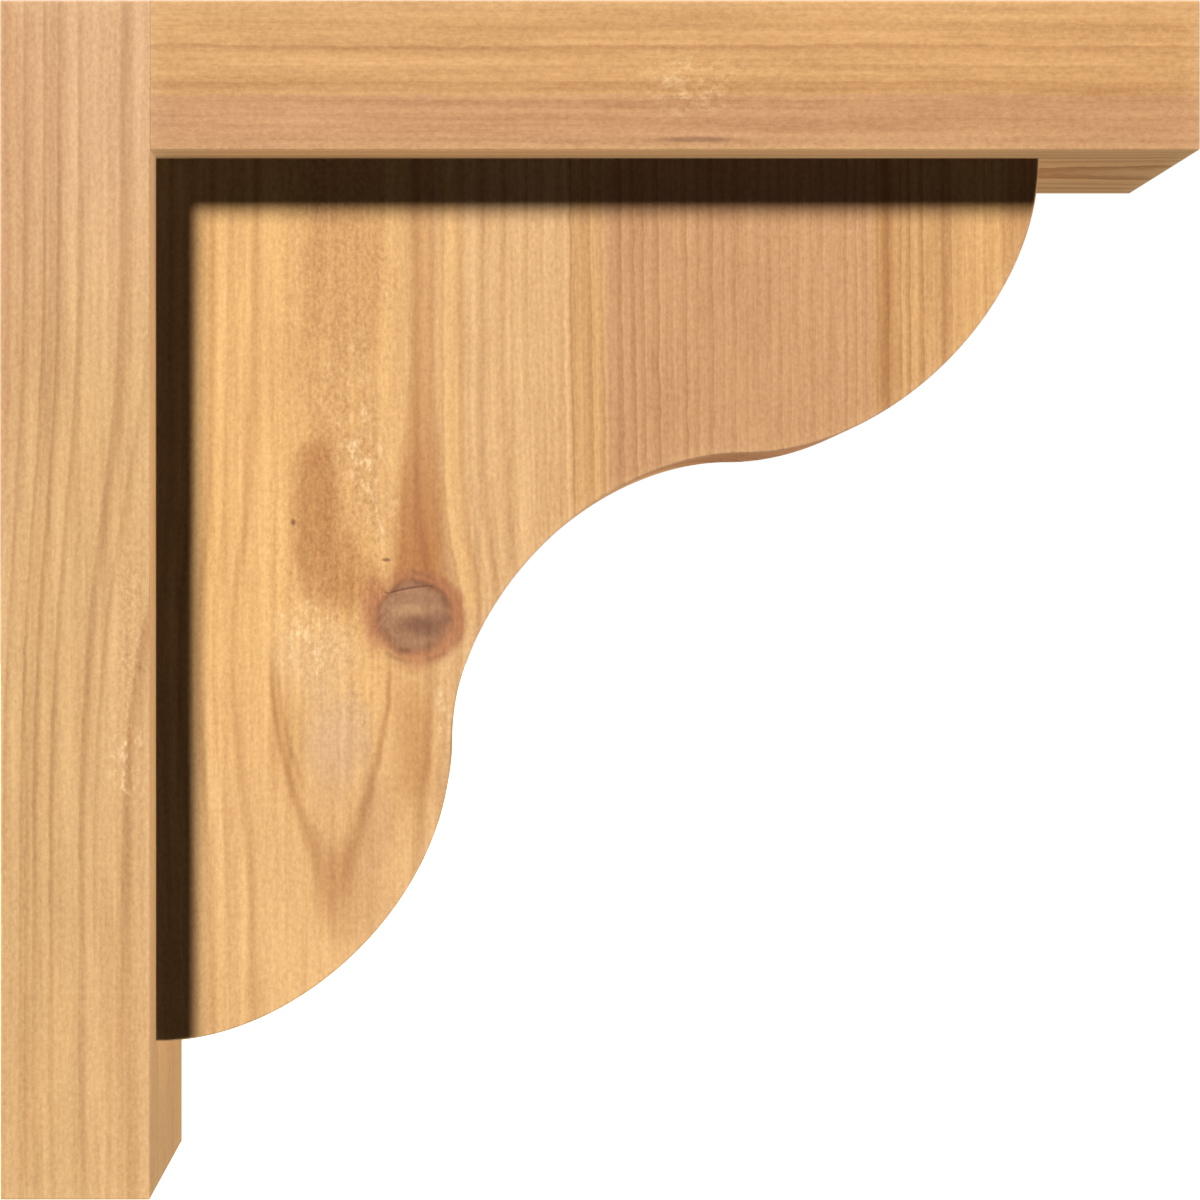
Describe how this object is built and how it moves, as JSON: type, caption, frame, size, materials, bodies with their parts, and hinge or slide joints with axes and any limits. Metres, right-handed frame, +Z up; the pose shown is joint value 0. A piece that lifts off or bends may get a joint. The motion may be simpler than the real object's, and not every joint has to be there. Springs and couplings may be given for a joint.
{
  "type": "wooden corbel bracket",
  "caption": "L-shaped wooden corbel bracket: a wall leg and a top leg butted square, braced by a thick ogee-cut web. Carries a shelf, mantel, beam or eave off a wall.",
  "frame": {"origin": "centre of the wall leg's back face, which lies on the wall", "axes": "+X out from the wall, along the top leg; +Z up, along the wall leg; Y across the width, which is symmetric about the X-Z plane"},
  "size_m": [0.3048, 0.0888, 0.3048],
  "materials": {
    "cedar_legs": "smooth planed cedar, unfinished, straight grain along each leg",
    "cedar_brace": "smooth planed knotty cedar, unfinished, grain upright"
  },
  "bodies": {
    "root": {"wall_leg": "cedar_legs", "top_leg": "cedar_legs", "ogee_brace": "cedar_brace"}
  },
  "joints": []
}
